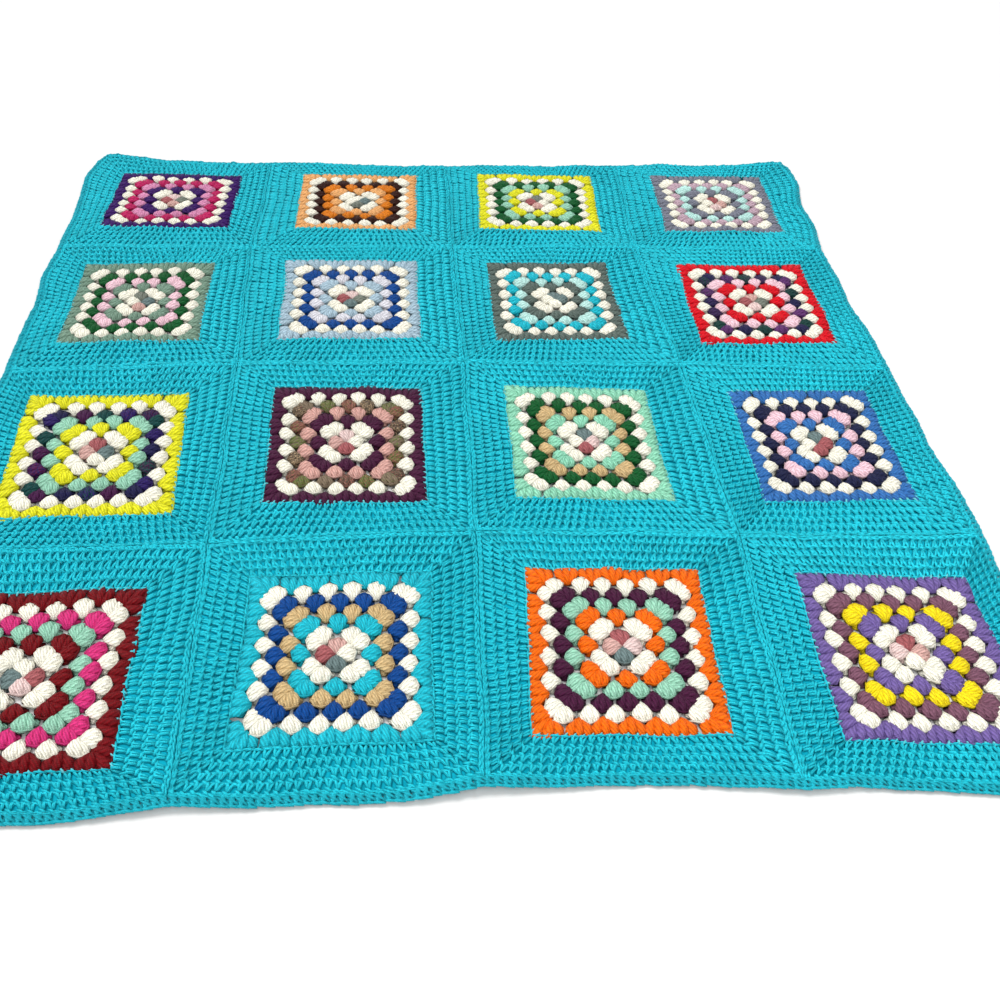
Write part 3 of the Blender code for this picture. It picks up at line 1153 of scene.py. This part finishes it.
def at_corner(square, corner, course, turn, across, height):
    """In the fan of a round; turn goes from 0 to 1 round the corner."""
    before = (corner - 1) % 4
    inner = blend(square.motif[corner], square.edge[corner], course.start)
    outer = blend(square.motif[corner], square.edge[corner], course.end)
    last = corner_shares(square, before, course)[1]
    first = corner_shares(square, corner, course)[0]
    begin = surround_flat(square, before, np.array(1 - last), np.array(course.end))
    finish = surround_flat(square, corner, np.array(first), np.array(course.end))
    if course.end < 1:
        outer = inner + (outer - inner) * ROUNDED_CORNER
    rim = np.where(
        (turn < 0.5)[..., None],
        blend(begin, outer, 2 * turn),
        blend(outer, finish, 2 * turn - 1),
    )
    foot = inner - FAN_FOOT * (outer - inner)
    reach = (FAN_FOOT + across) / (FAN_FOOT + 1)
    out = course.start + across * (course.end - course.start)
    lift = square.lifts[corner] * np.clip(out, 0, 1)
    flat = blend(foot, rim, reach)
    return np.concatenate([flat, (height + lift)[..., None]], axis=-1)


# %% Uneven copies in a row
hand = np.random.default_rng(7)


def uneven(pattern, count, slip=0.3, lean=0.04, swell=0.07):
    """Copies of the pattern's points, each a little different."""
    points = np.repeat(pattern.points[None], count, axis=0)
    each = (count, 1)
    points[..., 0] += hand.normal(0, slip, each)
    points[..., 0] += hand.normal(0, lean, each) * points[..., 1]
    points[..., 1] += hand.normal(0, slip, each)
    points[..., 2] *= 1 + hand.normal(0, swell, each)
    return points


def line_length(square, side, out):
    """Of the line so far out along one side."""
    ends = surround_flat(square, side, np.array((0.0, 1.0)), np.full(2, out))
    return float(np.linalg.norm(ends[1] - ends[0]))


def shares_of_row(points):
    """How far along the row each point of its copies lies, from 0 to 1."""
    count = len(points)
    return (np.arange(count)[:, None] + 0.5 + points[..., 0] / STITCH_PITCH) / count


def side_by_side(pattern, side, length, odd=0):
    """Uneven copies in a row of this length, with each point's share of the row."""
    count = 2 * round((length / SIDE_PITCHES[side] - odd) / 2) + odd
    points = uneven(pattern, count)
    points[..., 1] += SIDE_SLANTS[side] * points[..., 0]
    points[..., 2] *= SIDE_RELIEFS[side]
    return points, shares_of_row(points)


print("seam side of square 2_2: %.0f mm" % line_length(SQUARES[1, 1], 0, 1.0))


# %% Lay the surrounds
def surround_stitches(square):
    """The plain stitches of one square, its biting loops and its seam chain."""
    reached = np.cumsum((0.0, *PLAIN_ROUNDS)) / SURROUND_WIDTH
    courses = [Course(*ends) for ends in zip(reached, reached[1:])]
    plain, bites, runs, chain = [], [], [], []
    for side in range(4):
        for number, course in enumerate(courses):
            first, last = corner_shares(square, side, course)
            inner = line_length(square, side, course.start)
            outer = line_length(square, side, course.end) * (1 - first - last)
            length = (inner + outer) / 2
            stitch = SIDE_STITCHES[side]
            points, along = side_by_side(stitch, side, length, odd=number % 2)
            across = points[..., 1] / STITCH_HEIGHT
            plain.append(on_side(square, side, course, along, across, points[..., 2]))
            points = uneven(plain_stitch, FAN_STITCHES)
            turn, across = shares_of_row(points), points[..., 1] / STITCH_HEIGHT
            plain.append(at_corner(square, side, course, turn, across, points[..., 2]))
        for pattern, laid in ((biting_loop, bites), (running_loop, runs)):
            points, along = side_by_side(pattern, side, line_length(square, side, 0.0))
            out = points[..., 1] / SURROUND_WIDTH
            laid.append(surround_place(square, side, along, out, points[..., 2]))
        points, along = side_by_side(chain_link, side, line_length(square, side, 1.0))
        out = 1 + points[..., 1] / SURROUND_WIDTH
        chain.append(surround_place(square, side, along, out, points[..., 2]))
    return [
        Copies(plain_stitch, np.concatenate(plain), 0, 0.0),
        Copies(biting_loop, np.concatenate(bites), 1, 0.0),
        Copies(running_loop, np.concatenate(runs), 0, 0.0),
        Copies(chain_link, np.concatenate(chain), 0, 0.0),
    ]


TURQUOISE_ENDED = (3, 1)  # the square whose motif also ends in turquoise
surrounds = {}
for key, square in SQUARES.items():
    # the biting loops are paler turquoise, a painted highlight, except where the motif
    # ends in turquoise
    biting = YARNS["old_turquoise" if key == TURQUOISE_ENDED else "painted_highlight"]
    yarns = [YARNS["turquoise"], biting]
    name = f"surround_{square.name}"
    surrounds[key] = joined_piece(name, surround_stitches(square), yarns)
print("faces in the surrounds:", sum(len(s.data.polygons) for s in surrounds.values()))

# %% [markdown]
# ## The motifs and their colours
#
# The order of colours is the same in every motif. The first round is a printed
# yarn, the second and the sixth are cream. Three more yarns, here called first,
# second and third, fill the rest: the first in rounds three and seven, the second in
# round four and the third in round five. Behind the comma the table names the four
# clusters of the middle, clockwise from the far one.

# %% Colours of the motifs
Colours = namedtuple("Colours", "first second third middle")
COLOUR_PLAN = (  # by rows from the far left square
    "indigo orchid magenta, pale_pink green_grey pink rose",
    "peach bright_orange dark_brown, cream blue_grey green_grey cream",
    "lemon mint bottle_green, green_grey cream pink rose",
    "dusty_violet pale_mint mauve, rose pink pale_pink cream",
    "sage baby_pink bottle_green, green_grey blue_grey pink cream",
    "baby_blue shell_pink royal_blue, pale_pink green_grey blue_grey rose",
    "slate pale_mint old_turquoise, blue_grey blue_grey cream cream",
    "scarlet baby_pink night_print, pink green_grey pale_pink rose",
    "lemon mint berry_print, rose blue_grey cream pink",
    "dark_plum coral olive_print, pale_pink cream rose pink",
    "seafoam camel bottle_green, blue_grey pale_pink rose cream",
    "cornflower baby_pink navy, blue_grey rose rose cream",
    "maroon mint rose_magenta, cream rose pale_pink blue_grey",
    "old_turquoise camel royal_blue, pink cream blue_grey rose",
    "tangerine mint dark_plum, rose pale_pink blue_grey pink",
    "violet sunny_yellow mulberry, rose pink cream pale_pink",
)


def read_colours(line):
    """The yarns of one square, from its line of the plan."""
    yarns, middle = line.split(", ")
    return Colours(*yarns.split(), middle.split())


COLOURS = dict(zip(SQUARES, map(read_colours, COLOUR_PLAN)))
print("yarns of square 1_1:", *COLOURS[0, 0])


def yarn_of(colours, number, side):
    """The yarn of one round of a motif, or of one cluster of its middle."""
    if number == 1:
        return colours.middle[side]
    by_round = {3: colours.first, 4: colours.second, 5: colours.third, 7: colours.first}
    return by_round.get(number, "cream")


# %% [markdown]
# Two clusters meet at each corner and share one corner gap, so they lean together,
# and in the outermost round the last post is drawn out to fill the corner of the
# band. Each cluster is laid by its place in its round; placing all 112 of a motif by
# hand would be more exact for one square, and no use for the next.

# %% Clusters of one round
PUFF = 1.12  # clusters stand higher than their pattern once the cloth relaxes
CORNER_FOOT = 1.0  # how far a corner cluster's foot moves towards the corner
CORNER_LEAN = 0.19  # and how far it moves on the way to its head, for each mm
CORNER_DRAW = 4.0  # how far the band's last post is drawn to the corner
DRAWN_FROM = (8.0, 10.0)  # where on its cluster the draw is full, in x and y
CLUSTER_UNEVEN = {"slip": 0.7, "lean": 0.07, "swell": 0.07}


def clusters_of_side(square, side, number):
    """The clusters of one round along one side."""
    last = number == MOTIF_ROUNDS
    pattern = band_cluster if last else shell_cluster
    points = uneven(pattern, number, **CLUSTER_UNEVEN)
    x, y = points[..., 0], points[..., 1]
    place = np.arange(number) - (number - 1) / 2
    towards = np.zeros((number, 1))
    if number > 1:
        towards[0], towards[-1] = -1, 1
    foot = CORNER_FOOT + CORNER_LEAN * np.clip(y, 0, None)
    outer_post = np.clip(towards * x / DRAWN_FROM[0], 0, 1)
    head = np.clip(y / DRAWN_FROM[1], 0, 1)
    draw = CORNER_DRAW * head * outer_post if last else 0
    along = place[:, None] + (x + towards * (foot + draw)) / CLUSTER_PITCH
    out = number - 0.5 + y / CLUSTER_HEIGHT
    return pattern, motif_place(square, side, along, out, PUFF * points[..., 2])


POST_HEAD = 17.0  # mm from the foot of a corner post to the corner of the motif


def corner_posts(square):
    """One post in each corner of the band, along the diagonal."""
    points = uneven(corner_post, 4)
    places = []
    for corner in range(4):
        middle, tip = square.middle, square.motif[corner]
        side_line = square.motif[(corner + 1) % 4] - tip
        side_line = side_line / np.linalg.norm(side_line)
        back_line = square.motif[corner - 1] - tip
        back_line = back_line / np.linalg.norm(back_line)
        outward = (tip - middle) / np.linalg.norm(tip - middle)
        across = (side_line - back_line) / np.linalg.norm(side_line - back_line)
        x, y, z = np.moveaxis(points[corner], -1, 0)
        flat = tip + (y - POST_HEAD)[:, None] * outward + x[:, None] * across
        places.append(np.concatenate([flat, z[:, None]], axis=-1))
    return np.array(places)


# %% Lay the motifs
DYE_STEP = 0.31  # of the printed repeat, from one cluster to the next
DYE_SPAN = 0.84  # of the ramp, which leaves room at its end for the bleeding


def motif_clusters(square, colours):
    """Batches of clusters with the list of their yarns."""
    names, batches = [], []
    for number in range(1, MOTIF_ROUNDS + 1):
        for side in range(4):
            name = yarn_of(colours, number, side)
            if name not in names:
                names.append(name)
            pattern, points = clusters_of_side(square, side, number)
            dye = (np.arange(number) + side * number) * DYE_STEP % 1.0 * DYE_SPAN
            batches.append(Copies(pattern, points, names.index(name), dye))
    band = names.index(colours.first)
    batches.append(Copies(corner_post, corner_posts(square), band, 0.0))
    return batches, [YARNS[name] for name in names]


motifs = {}
for key, square in SQUARES.items():
    batches, yarns = motif_clusters(square, COLOURS[key])
    motifs[key] = joined_piece(f"motif_{square.name}", batches, yarns)
print("faces in the motifs:", sum(len(m.data.polygons) for m in motifs.values()))

# %% [markdown]
# ## The cloth under the posts
#
# Seen from the side a round is one thick layer: the back loops of the stitches lie
# so close that no light passes. That layer is a sheet, modelled once for each
# square as a flat strip with a soft ridge for every round. The strip is bent round
# the motif, closed where its ends meet, and given its thickness. Its turquoise is
# deeper than that of the posts, as painted shade.

# %% Yarn of the back loops
BACK_TOP = 2.2
BACK_RIDGE = 0.7
BACK_THICK = 1.4 * MM
STEPS_AROUND = 48
STEPS_OUT = 10
# Painted shade: the back loops are deeper than the posts' turquoise, deepest in their
# grooves
SHADED_BACK_RIDGES, SHADED_BACK_GROOVES = "#08A0B6", "#058EA4"
BACK_LOOP = 4 * MM  # from one loop to the next
BACK_RELIEF = 0.8 * MM
BACK_ROUGHNESS, BACK_SPECULAR = 0.8, 0.05


def back_loops_yarn():
    """The same acrylic in the shade of the posts: close small loops, deep tone."""
    material = bpy.data.materials.new("acrylic_back_loops_painted_shade")
    material.use_nodes = True
    tree = material.node_tree
    place = add_node(tree, "ShaderNodeTexCoord")
    loops = add_node(
        tree,
        "ShaderNodeTexVoronoi",
        {"Vector": place.outputs["Object"], "Scale": 1 / BACK_LOOP},
        feature="SMOOTH_F1",
    )
    bump = add_node(
        tree,
        "ShaderNodeBump",
        {
            "Height": loops.outputs["Distance"],
            "Strength": BUMP_STRENGTH,
            "Distance": BACK_RELIEF,
        },
        invert=True,
    )
    # painted shade, deeper in the grooves between the loops
    ridges, grooves = linear(SHADED_BACK_RIDGES), linear(SHADED_BACK_GROOVES)
    tone = add_node(
        tree,
        "ShaderNodeMix",
        {0: loops.outputs["Distance"], COLOUR_A: ridges, COLOUR_B: grooves},
        data_type="RGBA",
    )
    shader = tree.nodes["Principled BSDF"]
    tree.links.new(tone.outputs[COLOUR_MIXED], shader.inputs["Base Color"])
    tree.links.new(bump.outputs["Normal"], shader.inputs["Normal"])
    shader.inputs["Roughness"].default_value = BACK_ROUGHNESS
    shader.inputs["IOR"].default_value = ACRYLIC_IOR
    shader.inputs["Specular IOR Level"].default_value = BACK_SPECULAR
    return material


BACK_YARN = back_loops_yarn()
print("material of the backs:", BACK_YARN.name)


# %% Model the backs
def model_back(square):
    """A strip bent round the motif, from the motif's edge to the seam."""
    clear_selection()
    bpy.ops.mesh.primitive_grid_add(
        x_subdivisions=STEPS_AROUND, y_subdivisions=STEPS_OUT, size=1.0
    )
    piece = bpy.context.object
    piece.name = piece.data.name = f"back_{square.name}"
    flat = np.array([vertex.co for vertex in piece.data.vertices])
    around = np.clip(flat[:, 0] + 0.5, 0, 1) * 4
    out = np.clip(flat[:, 1] + 0.5, 0, 1)
    side = np.minimum(around.astype(int), 3)
    reach = out * SURROUND_WIDTH
    ridge = BACK_RIDGE * np.sin(math.pi * reach / STITCH_HEIGHT) ** 2
    places = np.empty_like(flat)
    for number in range(4):
        on = side == number
        places[on] = surround_place(
            square, number, around[on] - number, out[on], BACK_TOP + ridge[on]
        )
    for vertex, spot in zip(piece.data.vertices, settled(places) * MM):
        vertex.co = spot
    bpy.ops.object.mode_set(mode="EDIT")
    bpy.ops.mesh.select_all(action="SELECT")
    bpy.ops.mesh.remove_doubles(threshold=0.01 * MM)
    bpy.ops.mesh.normals_make_consistent(inside=False)
    bpy.ops.object.mode_set(mode="OBJECT")
    if piece.data.polygons[0].normal.z < 0:
        piece.data.flip_normals()
    thickness = piece.modifiers.new("thickness", "SOLIDIFY")
    thickness.thickness = BACK_THICK
    thickness.offset = -1.0
    bpy.ops.object.modifier_apply(modifier=thickness.name)
    piece.data.shade_smooth()
    piece.data.materials.append(BACK_YARN)
    return piece


backs = {key: model_back(square) for key, square in SQUARES.items()}
print("faces in a back:", len(backs[0, 0].data.polygons))

# %% [markdown]
# ## The edging
#
# One round of low stitches runs round the whole blanket and ends in a chain that
# lies on its side like a thin rope. A curve with a round bevel would give a plain
# cord, so stitches are laid here too. The outline is followed in short straight
# steps, as the solid does, and they are spread along its length.

# %% Outline of the blanket
OUTLINE_STEPS = (0.0, 0.125, 0.25, 0.375, 0.5, 0.625, 0.75, 0.875)


def outline():
    """Points, outward directions and lifts round the joined squares."""
    last = ROWS - 1
    runs = (
        [((0, c), 0) for c in range(COLUMNS)]
        + [((r, last), 1) for r in range(ROWS)]
        + [((last, c), 2) for c in reversed(range(COLUMNS))]
        + [((r, 0), 3) for r in reversed(range(ROWS))]
    )
    steps = np.array(OUTLINE_STEPS)
    sides = [(SQUARES[key], side, steps) for key, side in runs]
    places = np.concatenate([seam_place(*each) for each in sides])
    lifts = np.concatenate([seam_lift(*each) for each in sides])
    before = places - np.roll(places, 1, axis=0)
    after = np.roll(before, -1, axis=0)
    normals = []
    for step in (before, after):
        step = step / np.linalg.norm(step, axis=1, keepdims=True)
        normals.append(np.stack([-step[:, 1], step[:, 0]], axis=1))
    middle = normals[0] + normals[1]
    middle /= np.linalg.norm(middle, axis=1, keepdims=True)
    return places, middle / (middle * normals[0]).sum(1, keepdims=True), lifts


OUTLINE, OUTWARD, OUTLINE_LIFT = outline()
STEP_LENGTHS = np.linalg.norm(np.roll(OUTLINE, -1, axis=0) - OUTLINE, axis=1)
PASSED = np.concatenate(([0.0], STEP_LENGTHS.cumsum()))
print("round the blanket: %.2f m" % (PASSED[-1] / 1000))


def edging_place(distance, out, height):
    """At a distance round the outline, and so far out of it."""
    distance = distance % PASSED[-1]

    def between(values):
        closed = np.concatenate([values, values[:1]])
        return np.interp(distance, PASSED, closed)

    x = between(OUTLINE[:, 0]) + between(OUTWARD[:, 0]) * out
    y = between(OUTLINE[:, 1]) + between(OUTWARD[:, 1]) * out
    return np.stack([x, y, height + between(OUTLINE_LIFT)], axis=-1)


# %% Stitch of the edging
EDGING_PITCH = 7.2
EDGING_POST = (
    (-0.4, -3.0, 2.8, 3.2, 1.6),
    (0.2, 1.6, 2.9, 3.5, 2.0),
    (0.6, 5.8, 1.8, 3.4, 1.4),
)
EDGING_LOOPS = (
    (
        (-5.6, 4.9, 3.0, 1.1, 1.0),
        (-0.6, 2.2, 4.7, 1.6, 1.3),
        (4.6, -1.0, 3.4, 1.1, 1.1),
    ),
    (
        (-6.2, 6.4, 1.8, 1.1, 1.1),
        (-0.4, 5.9, 2.8, 1.7, 1.4),
        (5.4, 5.0, 1.8, 1.1, 1.1),
    ),
)
edging_stitch = read_pattern(
    join(
        [model_strand(4, ALONG_Y, EDGING_POST)]
        + [model_strand(4, ALONG_X, loop) for loop in EDGING_LOOPS]
    )
)
print("faces in a stitch of the edging:", edging_stitch.faces)


# %% Lay the edging
def edging_stitches():
    """Low stitches with their chain, side by side round the whole blanket."""
    count = round(PASSED[-1] / EDGING_PITCH)
    points = uneven(edging_stitch, count)
    middles = (np.arange(count)[:, None] + 0.5) * (PASSED[-1] / count)
    distance = middles + points[..., 0]
    places = edging_place(distance, points[..., 1], points[..., 2])
    return [Copies(edging_stitch, places, 0, 0.0)]


edging = joined_piece("edging_round", edging_stitches(), [YARNS["edging"]])
print("faces in the edging:", len(edging.data.polygons))

# %% [markdown]
# ## Bind the pieces to the frame
#
# Each square's solid is replaced by its back, its surround and its motif, and they
# all ride on the one body.


for key, square in SQUARES.items():
    node = f"square_{square.name}"
    for piece in (backs[key], surrounds[key], motifs[key]):
        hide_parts(node)
        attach(piece, "root")

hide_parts("edging")
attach(edging, "root")

# %% [markdown]
# ## Sizes
#
# Last, the number of triangles and the box of the dressed blanket are printed.

# %% Sizes and finish
triangles = sum(
    sum(len(face.vertices) - 2 for face in piece.data.polygons)
    for piece in [*backs.values(), *surrounds.values(), *motifs.values(), edging]
)
print("triangles in all:", triangles)
DRESSED_BOX = [list(corner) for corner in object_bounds()]
in_mm = [[round(v / MM, 1) for v in corner] for corner in DRESSED_BOX]
print("dressed box in mm:", in_mm)
